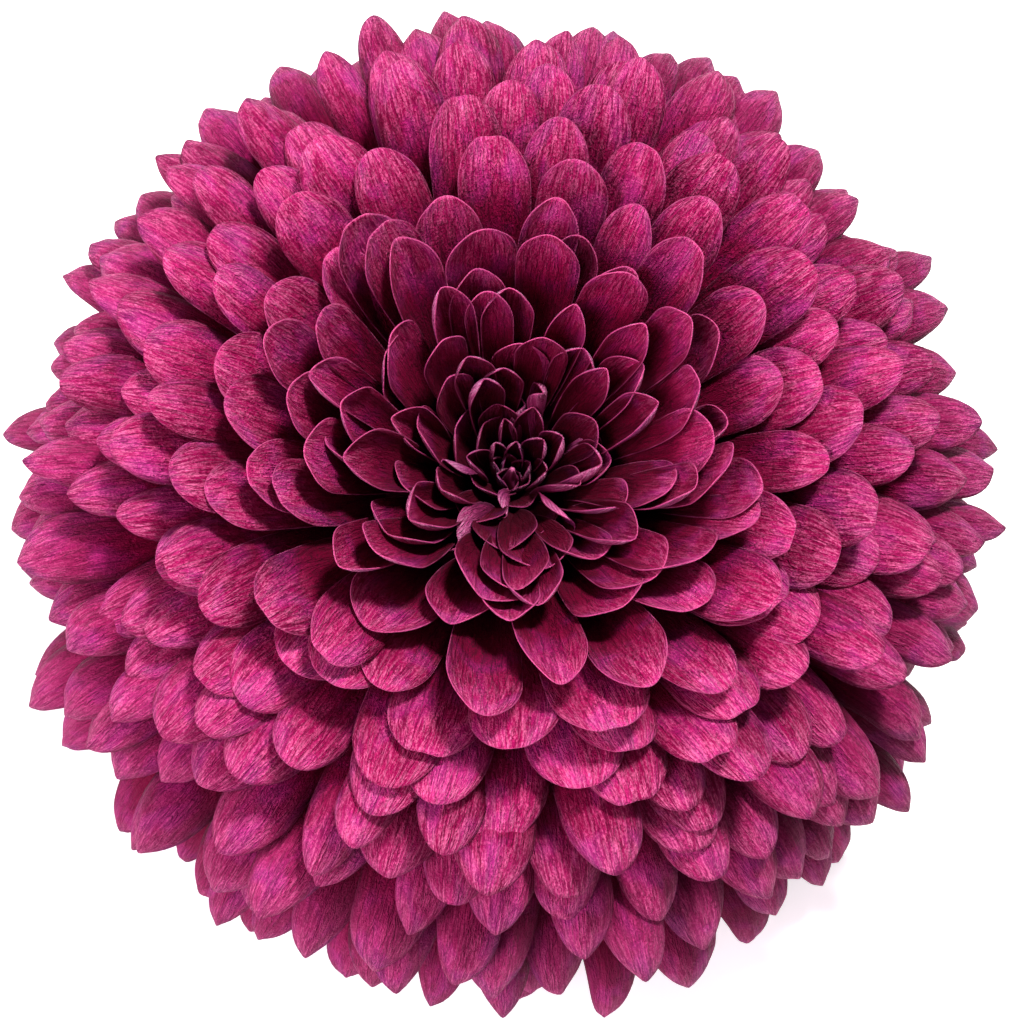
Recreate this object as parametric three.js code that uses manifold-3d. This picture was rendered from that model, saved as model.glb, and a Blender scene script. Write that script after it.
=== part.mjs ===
// A cut pompon chrysanthemum bloom, face up, snipped close under its head.
// Millimetres, +Z up. It rests on the tips of its lowest florets.
// The origin lies on the surface under it, below the middle of its outline.
import * as THREE from "three";
import { mergeVertices } from "three/addons/utils/BufferGeometryUtils.js";
import Module from "manifold-3d";

const wasm = await Module();
wasm.setup();

// Florets: they grow in a spiral over the receptacle, from the heart (rank 0) out to the collar (rank 1).
const FLORETS = 212;
const GOLDEN_ANGLE = Math.PI * (3 - Math.sqrt(5));
const RECEPTACLE_RADIUS = 8;
const RECEPTACLE_RISE = 8;
const RECEPTACLE_RIM_HEIGHT = 10.4;

// How a floret changes with its rank: each list holds one measure at these ranks.
// long and wide are its blade's length and full width.
// rise and fall are the angles from upright at which it leaves the receptacle and ends, in degrees.
// dip and cup are half of the arc that its section bends through, near its foot and near its tip:
// above zero the edges stand up like a spoon's, below zero they turn down like a roof tile's.
// widest is where along the blade it is widest, and point is how pointed the tip is: below 0.5 is blunt.
// sunk is the share of the blade that stands among the packed claws of its neighbours.
const RANKS = [0, 0.022, 0.055, 0.15, 0.24, 0.32, 0.43, 0.57, 0.7, 0.84, 1];
const AT_RANKS = {
  long: [4.2, 6.6, 12, 21.6, 26.2, 27.8, 28.8, 29.4, 29.5, 29.8, 28.4],
  wide: [1.9, 2.7, 3.6, 5.2, 5.8, 6, 6.1, 6.1, 5.9, 5.6, 5.1],
  rise: [0, 6, 12, 20, 27, 32, 38, 46, 55, 66, 86],
  fall: [4, 12, 22, 35, 48, 61, 79, 99, 117, 140, 183],
  dip: [80, 80, 80, 75, 65, 55, 45, 35, 25, 15, 10],
  cup: [80, 80, 75, 58, 34, 10, -14, -30, -38, -38, -30],
  widest: [0.75, 0.78, 0.8, 0.8, 0.8, 0.8, 0.79, 0.77, 0.75, 0.72, 0.7],
  point: [0.5, 0.46, 0.45, 0.45, 0.45, 0.45, 0.46, 0.48, 0.5, 0.55, 0.62],
  sunk: [0.45, 0.45, 0.48, 0.56, 0.62, 0.64, 0.64, 0.61, 0.54, 0.38, 0.13],
};

// Blade of a floret: a claw at its foot, then a strap that ends in a blunt tip.
const BLADE_THICKNESS = 0.9;
const CLAW_SHARE = 0.22;
const CLAW_END = 0.3;
const BEND_LATENESS = 2;
const CENTRELINE_STEPS = 24;
const ROOT_DEPTH = 0.15;
const LONG_REACH = 0.38;
const SHOULDER = 0.62;
const TIP_WIDTH_AT = 0.93;

// Natural unevenness of the florets, as shares or in degrees.
const LENGTH_SPREAD = 0.05;
const WIDTH_SPREAD = 0.13;
const TURN_SPREAD = 5;
const FALL_SPREAD = 6;
const TWIST_SPREAD = 18;
const LEAN_SPREAD = 6;
const CUP_SPREAD = 10;

// The outline is slightly oval: florets along Y are longer by this share, and florets along X shorter.
const OVALNESS = 0.033;

// The heart opens first towards -Y, where its florets are further on by up to this share of their rank,
// and it sits this far off the middle. Both fade out between these ranks.
const OPEN_SIDE = -Math.PI / 2;
const OPENNESS = 0.22;
const OPENNESS_FADES = [0.15, 0.45];
const HEART_SHIFT = { x: -0.6, y: 0.5 };
const HEART_SHIFT_FADES = [0.05, 0.45];

// Core: the packed claws of the florets, as one solid of revolution through the claws at these ranks.
const CORE_SIDES = 12;
const CORE_RANKS = [1, 0.8, 0.55, 0.3, 0.12, 0.03, 0];
const CORE_UNDERSIDE = RECEPTACLE_RIM_HEIGHT - 0.7;

// Stem: a short stub that widens into the cup under the florets, with overlapping bracts all over the cup.
const SEAT_GAP = 0.3;
const STEM_RADIUS = 2.3;
const STEM_END_HEIGHT = 0.8;
const STEM_SIDES = 12;
const CUP_RADIUS = 8.3;
const CUP_FOOT_HEIGHT = 3.4;
const CUP_TOP_HEIGHT = CORE_UNDERSIDE - SEAT_GAP;
const CUP_STEPS = 4;
const BRACTS = 29;
const BRACT_WIDTH = 3.3;
const BRACT_WIDEST = 0.45;
const BRACT_POINT = 0.8;
const BRACT_CUP = 14;
const BRACT_THICKNESS = 0.8;
const BRACT_SHARES = [0, 0.5, 1];
const FIRST_BRACT = { long: 5.6, from: 0.12 };
const LAST_BRACT = { long: 3.9, from: 0.62 };
const BRACT_REACH = 0.4;

const degrees = THREE.MathUtils.degToRad;
const { lerp: mix, smoothstep } = THREE.MathUtils;

// A number from -1 to 1 that is always the same for the same floret and use.
function draw(index, use) {
  const wave = Math.sin(index * 12.9898 + use * 78.233) * 43758.5453;
  return 2 * (wave - Math.floor(wave)) - 1;
}

// Every measure of AT_RANKS at any rank.
function measuresAt(rank) {
  const upper = Math.max(1, RANKS.findIndex((step) => step >= rank));
  const share = (rank - RANKS[upper - 1]) / (RANKS[upper] - RANKS[upper - 1]);
  const lists = Object.entries(AT_RANKS);
  return Object.fromEntries(lists.map(([key, list]) => [key, mix(list[upper - 1], list[upper], share)]));
}

// A floret's measures at any rank, before its own unevenness. The lead is how much further open it is.
function evenFloret(rank, lead = 0) {
  const measures = measuresAt(rank * (1 + lead));
  return {
    ...measures,
    footRadius: RECEPTACLE_RADIUS * Math.sqrt(rank),
    footHeight: RECEPTACLE_RIM_HEIGHT + RECEPTACLE_RISE * (1 - rank),
    rise: degrees(measures.rise),
    fall: degrees(measures.fall),
    dip: degrees(measures.dip),
    cup: degrees(measures.cup),
    turn: 0,
    shift: 0,
    twist: 0,
    lean: 0,
  };
}

// One floret's measures, with its own unevenness and its place in the spiral.
function floretNumber(index) {
  const rank = index / (FLORETS - 1);
  const turn = index * GOLDEN_ANGLE + degrees(TURN_SPREAD * draw(index, 1));
  const lead = OPENNESS * Math.cos(turn - OPEN_SIDE) * (1 - smoothstep(rank, ...OPENNESS_FADES));
  const even = evenFloret(rank, lead);
  return {
    ...even,
    turn,
    shift: 1 - smoothstep(rank, ...HEART_SHIFT_FADES),
    long: even.long * (1 + LENGTH_SPREAD * draw(index, 2)) * (1 - OVALNESS * Math.cos(2 * turn)),
    wide: even.wide * (1 + WIDTH_SPREAD * draw(index, 3)),
    fall: even.fall + degrees(FALL_SPREAD * draw(index, 4)),
    twist: degrees(TWIST_SPREAD * draw(index, 5)),
    lean: degrees(LEAN_SPREAD * draw(index, 6)),
    cup: even.cup + degrees(CUP_SPREAD * draw(index, 7)),
  };
}

// A blade's centreline at a share of its length: its place out from the axis and up, and its angle.
function centreline(blade, share) {
  const angleAt = (s) => mix(blade.rise, blade.fall, s ** BEND_LATENESS);
  const step = share / CENTRELINE_STEPS;
  let out = blade.footRadius;
  let up = blade.footHeight;
  for (let i = 0; i < CENTRELINE_STEPS; i++) {
    const angle = angleAt((i + 0.5) * step);
    out += Math.sin(angle) * blade.long * step;
    up += Math.cos(angle) * blade.long * step;
  }
  return { out, up, angle: angleAt(share) };
}

// Half of a blade's width at a share of its length.
function halfWidth(blade, share) {
  const widening = smoothstep(share, Math.min(CLAW_END, blade.widest / 2), blade.widest);
  const past = Math.max(0, (share - blade.widest) / (1 - blade.widest));
  return (blade.wide / 2) * mix(CLAW_SHARE, 1, widening) * Math.max(0, 1 - past ** 2) ** blade.point;
}

// A point of a blade at a share of its length: across goes from -1 to 1 over its width there,
// which is twice half, and above is the height over its middle face.
function bladePoint(blade, share, half, across, above) {
  const { out, up, angle } = centreline(blade, share);
  const outward = new THREE.Vector3(Math.cos(blade.turn), Math.sin(blade.turn), 0);
  const sideways = new THREE.Vector3(-Math.sin(blade.turn), Math.cos(blade.turn), 0);
  const upward = new THREE.Vector3(0, 0, 1);
  const inner = outward.clone().multiplyScalar(-Math.cos(angle)).addScaledVector(upward, Math.sin(angle));
  const twist = blade.twist * share;
  const breadth = sideways.clone().multiplyScalar(Math.cos(twist)).addScaledVector(inner, Math.sin(twist));
  const face = inner.clone().multiplyScalar(Math.cos(twist)).addScaledVector(sideways, -Math.sin(twist));
  const arc = mix(blade.dip, blade.cup, share) || 1e-3;
  const radius = half / arc;
  const bend = arc * across;
  const heartShift = new THREE.Vector3(HEART_SHIFT.x, HEART_SHIFT.y, 0);
  return outward
    .multiplyScalar(out)
    .addScaledVector(heartShift, blade.shift)
    .addScaledVector(upward, up)
    .addScaledVector(sideways, Math.tan(blade.lean) * blade.long * share ** 2)
    .addScaledVector(breadth, (radius - above) * Math.sin(bend))
    .addScaledVector(face, radius * (1 - Math.cos(bend)) + above * Math.cos(bend));
}

// A closed mesh as a solid that can be joined and cut.
function solidOf(geometry) {
  const bare = geometry.clone().deleteAttribute("normal").deleteAttribute("uv");
  const merged = mergeVertices(bare, 1e-4);
  return new wasm.Manifold(
    new wasm.Mesh({
      numProp: 3,
      vertProperties: merged.attributes.position.array,
      triVerts: new Uint32Array(merged.index.array),
    }),
  );
}

// A solid's surface as a geometry.
function geometryOf(solid) {
  const mesh = solid.getMesh();
  return new THREE.BufferGeometry()
    .setAttribute("position", new THREE.BufferAttribute(mesh.vertProperties, 3))
    .setIndex(new THREE.BufferAttribute(mesh.triVerts, 1));
}

// A blade as a solid: a square bar, bent so that its corners become the blade's two edges and two ribs.
// Its sections stand at the given shares of its length, and the last one is as wide as the blade is
// just short of its tip.
function bladeSolid(blade, shares, thickness) {
  const rows = shares.length - 1;
  const bar = new THREE.BoxGeometry(Math.SQRT2, rows, Math.SQRT2, 1, rows, 1).rotateY(Math.PI / 4);
  const places = bar.attributes.position;
  for (let i = 0; i < places.count; i++) {
    const row = Math.round(places.getY(i) + rows / 2);
    const widthAt = row === rows ? mix(blade.widest, 1, TIP_WIDTH_AT) : shares[row];
    const above = (places.getZ(i) * thickness) / 2;
    const point = bladePoint(blade, shares[row], halfWidth(blade, widthAt), -places.getX(i), above);
    places.setXYZ(i, point.x, point.y, point.z);
  }
  return solidOf(bar);
}

// A floret's blade, from inside the core to its tip. A long free stretch has one more section.
function floretSolid(index) {
  const floret = floretNumber(index);
  const root = floret.sunk - ROOT_DEPTH;
  const middle = floret.widest - root > LONG_REACH ? [(root + floret.widest) / 2] : [];
  const shares = [root, ...middle, floret.widest, mix(floret.widest, 1, SHOULDER), 1];
  return bladeSolid(floret, shares, BLADE_THICKNESS);
}

// A solid of revolution about the axis, from places out from it and up.
function latheSolid(outline, sides) {
  const profile = outline.map(([out, up]) => new THREE.Vector2(out, up));
  return solidOf(new THREE.LatheGeometry(profile, sides).rotateX(Math.PI / 2));
}

function coreSolid() {
  const claws = CORE_RANKS.map((rank) => {
    const floret = evenFloret(rank);
    const { out, up } = centreline(floret, floret.sunk);
    return [rank === 0 ? 0 : out, up];
  });
  const underside = [[0, CORE_UNDERSIDE], [RECEPTACLE_RADIUS, CORE_UNDERSIDE]];
  return latheSolid([...underside, ...claws], CORE_SIDES);
}

// The cup's outline at a share of its way up: its place out from the axis and up, and its angle from upright.
function cupOutline(share) {
  const turn = (share * Math.PI) / 2;
  const out = mix(STEM_RADIUS, CUP_RADIUS, Math.sin(turn));
  const up = mix(CUP_FOOT_HEIGHT, CUP_TOP_HEIGHT, 1 - Math.cos(turn));
  const width = CUP_RADIUS - STEM_RADIUS;
  const height = CUP_TOP_HEIGHT - CUP_FOOT_HEIGHT;
  return { out, up, angle: Math.atan2(width * Math.cos(turn), height * Math.sin(turn)) };
}

// One bract, numbered from the stem up. It lies along the cup and ends a little clear of it.
function bractSolid(index) {
  const rank = index / (BRACTS - 1);
  const from = mix(FIRST_BRACT.from, LAST_BRACT.from, rank);
  const foot = cupOutline(from);
  const bract = {
    footRadius: foot.out,
    footHeight: foot.up,
    rise: foot.angle,
    fall: cupOutline(Math.min(1, from + BRACT_REACH)).angle,
    long: mix(FIRST_BRACT.long, LAST_BRACT.long, rank),
    wide: BRACT_WIDTH,
    widest: BRACT_WIDEST,
    point: BRACT_POINT,
    turn: index * GOLDEN_ANGLE,
    shift: 0,
    twist: 0,
    lean: 0,
    dip: degrees(BRACT_CUP),
    cup: degrees(BRACT_CUP),
  };
  return bladeSolid(bract, BRACT_SHARES, BRACT_THICKNESS);
}

function cupSolid() {
  const side = Array.from({ length: CUP_STEPS + 1 }, (_, step) => cupOutline(step / CUP_STEPS));
  const stub = [[0, STEM_END_HEIGHT], [STEM_RADIUS, STEM_END_HEIGHT]];
  const outline = [...stub, ...side.map(({ out, up }) => [out, up]), [0, CUP_TOP_HEIGHT]];
  return latheSolid(outline, STEM_SIDES);
}

// What lies below the surface that the bloom rests on, wide enough to flatten every tip that meets it.
function groundSolid() {
  const size = 200;
  return solidOf(new THREE.BoxGeometry(size, size, size).translate(0, 0, -size / 2));
}

function named(name, solid, material) {
  const mesh = new THREE.Mesh(geometryOf(solid), new THREE.MeshStandardMaterial(material));
  mesh.name = name;
  return mesh;
}

const blades = Array.from({ length: FLORETS }, (_, index) => floretSolid(index));
const florets = wasm.Manifold.union([coreSolid(), ...blades]).subtract(groundSolid());
const bracts = Array.from({ length: BRACTS }, (_, index) => bractSolid(index));
const stem = wasm.Manifold.union([cupSolid(), ...bracts]);

const bloom = new THREE.Group();
bloom.add(named("florets", florets, { color: 0xa8256a, roughness: 0.6, metalness: 0 }));
bloom.add(named("stem", stem, { color: 0x6c8a3c, roughness: 0.65, metalness: 0 }));

const { min, max } = florets.boundingBox();
const middle = new THREE.Vector3(...min).add(new THREE.Vector3(...max)).divideScalar(2);
bloom.children.forEach((mesh) => mesh.position.set(-middle.x, -middle.y, 0));

export default bloom;
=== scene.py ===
"""A cut pompon chrysanthemum bloom, face up, snipped close under its head. Metres, +Z up."""

import math

import bmesh
import bpy
from mathutils import Matrix, Vector


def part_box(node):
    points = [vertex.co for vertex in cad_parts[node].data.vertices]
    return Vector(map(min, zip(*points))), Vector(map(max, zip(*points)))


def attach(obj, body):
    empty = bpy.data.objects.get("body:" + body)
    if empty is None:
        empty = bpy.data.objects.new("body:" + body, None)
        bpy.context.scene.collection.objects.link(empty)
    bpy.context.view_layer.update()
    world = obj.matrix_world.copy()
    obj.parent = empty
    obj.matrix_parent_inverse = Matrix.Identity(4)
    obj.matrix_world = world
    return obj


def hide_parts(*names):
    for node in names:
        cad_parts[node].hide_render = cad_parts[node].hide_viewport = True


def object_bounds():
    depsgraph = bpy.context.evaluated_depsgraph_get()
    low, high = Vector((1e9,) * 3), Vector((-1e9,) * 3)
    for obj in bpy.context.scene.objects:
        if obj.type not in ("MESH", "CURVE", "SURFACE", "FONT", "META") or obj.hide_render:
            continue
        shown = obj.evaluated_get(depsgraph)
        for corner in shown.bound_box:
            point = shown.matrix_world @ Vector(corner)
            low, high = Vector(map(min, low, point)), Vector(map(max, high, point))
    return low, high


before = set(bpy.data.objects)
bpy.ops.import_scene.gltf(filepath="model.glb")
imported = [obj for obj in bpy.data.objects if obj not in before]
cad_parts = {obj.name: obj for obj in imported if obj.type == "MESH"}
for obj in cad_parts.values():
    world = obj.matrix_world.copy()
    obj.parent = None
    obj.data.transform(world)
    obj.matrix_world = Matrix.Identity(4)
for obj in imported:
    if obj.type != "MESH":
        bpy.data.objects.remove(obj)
cad_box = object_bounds()

# The measures of the bloom's own pieces are in millimetres, and MM makes metres of them.
MM = 0.001
TINY = 1e-3
GOLDEN_ANGLE = math.pi * (3 - math.sqrt(5))

# ---------------------------------------------------------------- camera

CAMERA_TURN = math.radians(-15)
CAMERA_HEIGHT_ANGLE = math.radians(73.5)
CAMERA_DISTANCE = 0.1958
CAMERA_TARGET = Vector((0.0, -0.0015, 0.017))
CAMERA_LENS = 100
CAMERA_SENSOR = 36
CAMERA_NEAREST = 0.005


def set_camera():
    camera = bpy.data.cameras.new("camera")
    camera.lens = CAMERA_LENS
    camera.sensor_width = CAMERA_SENSOR
    camera.clip_start = CAMERA_NEAREST
    holder = bpy.data.objects.new("camera", camera)
    bpy.context.scene.collection.objects.link(holder)
    level = math.cos(CAMERA_HEIGHT_ANGLE)
    sideways, ahead = math.sin(CAMERA_TURN) * level, math.cos(CAMERA_TURN) * level
    back = Vector((sideways, -ahead, math.sin(CAMERA_HEIGHT_ANGLE)))
    right = Vector((0, 1, 0)).cross(back).normalized()
    holder.location = CAMERA_TARGET + back * CAMERA_DISTANCE
    holder.rotation_euler = Matrix((right, back.cross(right), back)).transposed().to_euler()
    bpy.context.scene.camera = holder


set_camera()

# ---------------------------------------------------------------- light

LIGHT_TARGET = Vector((0, 0, 0.02))
ROOM_COLOUR = (1.0, 0.9, 0.95, 1)
ROOM_STRENGTH = 0.22

# Each lamp's place, the side of its square, its power in watts and its colour.
LAMPS = {
    "window": ((0.074, 0.162, 0.467), 0.07, 3.6, (1.0, 0.975, 0.96)),
    "bounce": ((-0.3, -0.16, 0.26), 0.4, 2.5, (1.0, 0.7, 0.88)),
}


def set_lamps():
    for name, (place, side, power, colour) in LAMPS.items():
        light = bpy.data.lights.new(name, "AREA")
        light.size = side
        light.energy = power
        light.color = colour
        holder = bpy.data.objects.new(name, light)
        holder.location = place
        holder.rotation_euler = (LIGHT_TARGET - Vector(place)).to_track_quat("-Z", "Y").to_euler()
        bpy.context.scene.collection.objects.link(holder)


def set_room():
    world = bpy.data.worlds.new("room")
    world.use_nodes = True
    glow = world.node_tree.nodes["Background"].inputs
    glow["Color"].default_value = ROOM_COLOUR
    glow["Strength"].default_value = ROOM_STRENGTH
    bpy.context.scene.world = world
    bpy.context.scene.view_settings.view_transform = "Standard"


set_lamps()
set_room()

# ---------------------------------------------------------------- nodes of the materials

UNIT = (0.0, 1.0)
NOISE_SPAN = (0.3, 0.7)


class Recipe:
    """Adds and joins the nodes of one material or node group."""

    def __init__(self, tree):
        self.tree = tree

    def join(self, value, socket):
        """Leads an output to a socket, or sets the socket to a plain value."""
        if isinstance(value, bpy.types.NodeSocket):
            self.tree.links.new(value, socket)
        else:
            socket.default_value = value

    def feed(self, node, inputs):
        for key, value in inputs.items():
            self.join(value, node.inputs[key])

    def add(self, kind, inputs=None, **settings):
        node = self.tree.nodes.new(kind)
        for key, value in settings.items():
            setattr(node, key, value)
        self.feed(node, inputs or {})
        return node

    def work_out(self, kind, *values):
        return self.add("ShaderNodeMath", dict(enumerate(values)), operation=kind).outputs[0]

    def plus(self, first, second):
        return self.work_out("ADD", first, second)

    def times(self, product, *factors):
        for factor in factors:
            product = self.work_out("MULTIPLY", product, factor)
        return product

    def between(self, value, span, results=UNIT):
        """The first result before the span, the second past it, and a mix of both within it."""
        inputs = {"From Min": span[0], "From Max": span[1], "To Min": results[0], "To Max": results[1]}
        return self.add("ShaderNodeMapRange", {"Value": value, **inputs}).outputs["Result"]

    def effect(self, values, *changes):
        """The product of changes: each is a value's name, a span of it, and its results at the two ends."""
        return self.times(*(self.between(values[name], span, results) for name, span, results in changes))

    def blend(self, share, first, second):
        node = self.add("ShaderNodeMix", data_type="RGBA")
        sockets = [node.inputs[0]] + [socket for socket in node.inputs if socket.type == "RGBA"]
        for value, socket in zip((share, first, second), sockets):
            self.join(value, socket)
        return next(socket for socket in node.outputs if socket.type == "RGBA")

    def ramp(self, value, stops):
        node = self.add("ShaderNodeValToRGB", {"Fac": value})
        first, last = node.color_ramp.elements[0], node.color_ramp.elements[1]
        first.position, first.color = stops[0]
        last.position, last.color = stops[-1]
        for place, colour in stops[1:-1]:
            stop = node.color_ramp.elements.new(place)
            stop.color = colour
        return node.outputs["Color"]

    def grey(self, value):
        return self.add("ShaderNodeCombineXYZ", {"X": value, "Y": value, "Z": value}).outputs[0]

    def shaded(self, colour, shade):
        inputs = {0: colour, 1: self.grey(shade)}
        return self.add("ShaderNodeVectorMath", inputs, operation="MULTIPLY").outputs[0]

    def attribute(self, name):
        return self.add("ShaderNodeAttribute", attribute_name=name).outputs["Fac"]

    def object_place(self):
        return self.add("ShaderNodeTexCoord").outputs["Object"]

    def noise(self, place, scale, detail, roughness=0.5, distortion=0.0):
        inputs = {"Scale": scale, "Detail": detail, "Roughness": roughness, "Distortion": distortion}
        return self.add("ShaderNodeTexNoise", {"Vector": place, **inputs}).outputs["Fac"]

    def bump(self, height, strength, distance):
        inputs = {"Height": height, "Strength": strength, "Distance": distance}
        return self.add("ShaderNodeBump", inputs).outputs["Normal"]


def new_group(name, inputs, outputs):
    group = bpy.data.node_groups.new(name, "ShaderNodeTree")
    for label in inputs:
        group.interface.new_socket(label, in_out="INPUT", socket_type="NodeSocketFloat")
    for label in outputs:
        group.interface.new_socket(label, in_out="OUTPUT", socket_type="NodeSocketFloat")
    recipe = Recipe(group)
    return recipe, recipe.add("NodeGroupInput").outputs, recipe.add("NodeGroupOutput")


def new_material(name):
    material = bpy.data.materials.new(name)
    material.use_nodes = True
    material.node_tree.nodes.clear()
    recipe = Recipe(material.node_tree)
    output = recipe.add("ShaderNodeOutputMaterial")
    skin = recipe.add("ShaderNodeBsdfPrincipled")
    recipe.join(skin.outputs["BSDF"], output.inputs["Surface"])
    return material, recipe, skin


# ---------------------------------------------------------------- grain of petals and bracts

# What every point of a blade knows: its blade's own number, how far along the blade it is, how far in from
# the edge in millimetres, and the blade's rank from the heart (0) out to the collar (1).
BLADE_VALUES = ("own", "along", "inset", "rank")

# How often each marking comes across a blade and along it over its map, with its detail and its roughness.
MARKINGS = {
    "veins": ((56.0, 7.0, 1.0), 3.0, 0.6),
    "fibres": ((180.0, 21.0, 1.0), 3.0, 0.6),
    "blotch": ((14.0, 9.0, 1.0), 2.0, 0.5),
    "grains": ((240.0, 140.0, 1.0), 2.0, 0.7),
}
GRAIN_OUTPUTS = (*MARKINGS, "height")
MARKING_DISTORTION = 0.5
VEIN_EDGE = (0.004, 0.04)
CRISP_NOISE = (0.36, 0.64)
OWN_SHIFT = 37.0
VEIN_RELIEF = -0.7
FIBRE_RELIEF = 0.5
GRAIN_RELIEF = 0.5


def make_blade_grain():
    """The markings of a blade's tissue on its map: forked veins, fibres, soft blotches and fine grains."""
    recipe, given, out = new_group("blade_grain", ["own"], GRAIN_OUTPUTS)
    own_place = recipe.times(given["own"], OWN_SHIFT)
    shift = recipe.add("ShaderNodeCombineXYZ", {"X": own_place, "Y": own_place}).outputs[0]
    chart = recipe.add("ShaderNodeUVMap", uv_map="petal").outputs["UV"]
    shifted = recipe.add("ShaderNodeVectorMath", {0: chart, 1: shift}, operation="ADD").outputs[0]

    def marking(kind):
        repeats, detail, roughness = MARKINGS[kind]
        stretched = recipe.add("ShaderNodeMapping", {"Vector": shifted, "Scale": repeats}).outputs[0]
        return recipe.noise(stretched, 1.0, detail, roughness, MARKING_DISTORTION)

    crossing = recipe.work_out("ABSOLUTE", recipe.work_out("SUBTRACT", marking("veins"), 0.5))
    veins = recipe.between(crossing, VEIN_EDGE, (1.0, 0.0))
    fibres = recipe.between(marking("fibres"), CRISP_NOISE)
    blotch = marking("blotch")
    grains = recipe.between(marking("grains"), CRISP_NOISE)
    height = recipe.times(veins, VEIN_RELIEF)
    height = recipe.work_out("MULTIPLY_ADD", fibres, FIBRE_RELIEF, height)
    height = recipe.work_out("MULTIPLY_ADD", grains, GRAIN_RELIEF, height)
    recipe.feed(out, dict(zip(GRAIN_OUTPUTS, (veins, fibres, blotch, grains, height))))
    return recipe.tree


blade_grain = make_blade_grain()


def values_of_blade(recipe, names=BLADE_VALUES):
    """The values that a blade's look is worked out from: what its points know, and its tissue's markings."""
    values = {name: recipe.attribute(name) for name in names}
    grain = recipe.add("ShaderNodeGroup", {"own": values["own"]}, node_tree=blade_grain)
    values.update({kind: grain.outputs[kind] for kind in GRAIN_OUTPUTS})
    return values


# ---------------------------------------------------------------- petal skins

# Each change is a value of the petal, a span of it, and what the change gives at the two ends of that span.
REACH_BY_BLOTCH = ("blotch", NOISE_SPAN, (-0.08, 0.08))
REACH_BY_RANK = ("rank", (0.05, 0.6), (-0.03, 0.045))
WORN_BY_RANK = ("rank", (0.35, 0.75), (0.0, 0.75))
WORN_BY_PETAL = ("own", UNIT, (-0.15, 0.15))
WORN_TOWARDS_TIP = ("along", (0.72, 1.0), UNIT)
# Towards the tips the heart's painted shade gives way, as painted light on the lit tips.
HEART_TIP_SHARE = ("rank", (0.01, 0.12), (1.0, 0.4))
CRISPNESS = (
    ("rank", (0.35, 0.95), (1.0, 0.5)),
    ("blotch", NOISE_SPAN, (0.7, 1.3)),
    ("rank", (0.05, 0.2), (0.6, 1.0)),
)
GRAIN_SHADE = (
    ("veins", UNIT, (1.0, 0.68)),
    ("fibres", UNIT, (0.8, 1.15)),
    ("grains", UNIT, (0.75, 1.22)),
)
# Each petal's own tone differs at random, and the outer ranks are darkened as painted shade, as they hang
# down out of the light.
PETAL_TONE_AND_SHADE = (
    ("own", UNIT, (0.84, 1.14)),
    ("rank", (0.2, 0.65), (1.0, 0.7)),
)
# Painted shade deep in the scoop of an inner petal, and painted light on its tip.
SCOOP_SHADE = (
    ("along", (0.74, 1.0), (-0.28, 0.3)),
    ("rank", (0.2, 0.4), (1.0, 0.0)),
)
# Painted shade along a petal's sides, where a convex petal turns away from the light; none at the very tip.
MARGIN_SHADE = ("inset", (0.1, 1.3), (0.74, 1.04))
LILAC_SHARE = (
    ("blotch", (0.5, 0.72), (0.0, 0.35)),
    ("along", (0.7, 0.9), UNIT),
)
# The pale rim is partly the edge's own paler colour and partly painted highlight where it catches the light;
# painted shade dims it in the heart.
RIM_SHARE = (
    ("inset", (0.0, 0.06), (0.8, 0.0)),
    ("rank", (0.0, 0.12), (0.25, 1.0)),
    ("blotch", (0.35, 0.65), UNIT),
)
ROUGHER_HEART = ("rank", (0.05, 0.35), (0.2, 0.0))

# How much of the heart's own deeper colour and painted shade the innermost petals take.
HEART_SHARE = 0.85
HEART_TIP_LENGTH = (0.84, 1.0)
MARGIN_LENGTH = (0.9, 1.0)
# The pale glints are painted highlight: the sheen of the lit tissue near the tip.
GLINT_SPAN = (0.38, 0.9)
GLINT_LENGTH = (0.76, 0.98)
GLINT_FIBRES = 0.6
GLINT_GRAINS = 0.4
GLINT_SHARE = 0.95
ROUGHNESS_SPREAD = 0.06
PETAL_RELIEF = 0.24 * MM
LILAC = (0.36, 0.03, 0.3, 1)
PETAL_GLOSS = 0.05
PETAL_FINISH = {
    "Specular IOR Level": PETAL_GLOSS,
    "Sheen Weight": 0.01,
    "Sheen Roughness": 0.4,
    "Sheen Tint": (0.86, 0.62, 1.0, 1),
}

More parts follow.
